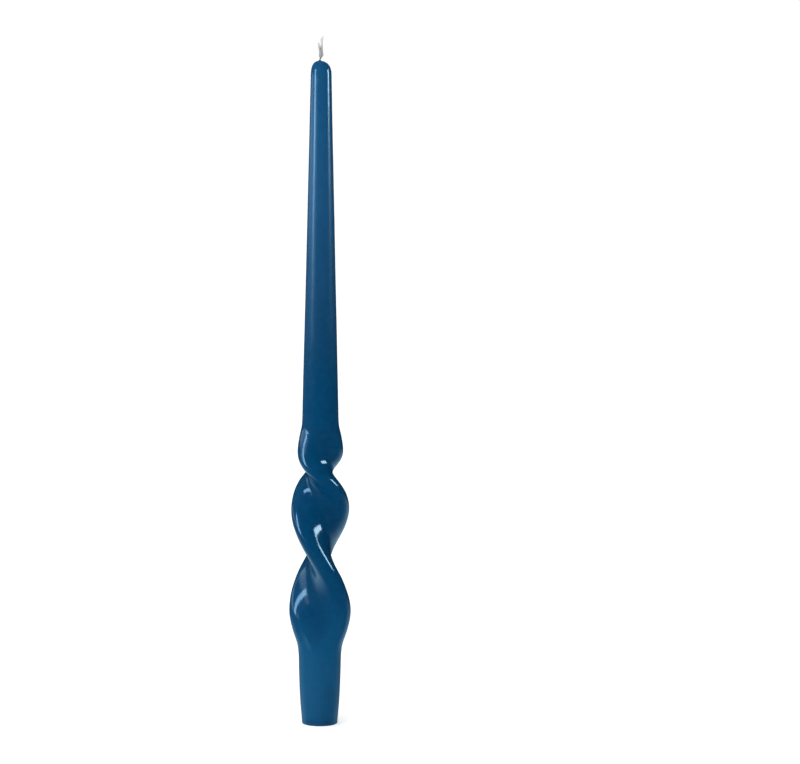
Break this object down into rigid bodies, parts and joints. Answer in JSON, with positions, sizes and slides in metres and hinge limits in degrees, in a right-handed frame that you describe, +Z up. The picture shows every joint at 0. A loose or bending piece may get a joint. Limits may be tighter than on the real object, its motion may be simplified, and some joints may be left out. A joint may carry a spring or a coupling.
{
  "type": "twisted taper candle",
  "caption": "Tall dipped taper candle with a hand-turned flat blade above a round plug foot, a slim domed stem and a cotton wick.",
  "frame": {"origin": "centre of the foot's flat underside", "axes": "+Z up along the candle's axis, towards the wick; +X to the viewer's right when the lowest turn of the blade is seen flat on"},
  "size_m": [0.032, 0.0332, 0.3572],
  "materials": {
    "dyed_wax": "petrol blue dyed wax, glossy where it was handled and turned, satin low on the plug",
    "white_wax": "undyed paraffin, smooth and slightly translucent",
    "cotton": "undyed cotton strands, waxed"
  },
  "bodies": {
    "root": {"colour_coat": "dyed_wax", "wax_core": "white_wax", "wick_strand_1": "cotton", "wick_strand_2": "cotton", "wick_strand_3": "cotton"}
  },
  "joints": []
}
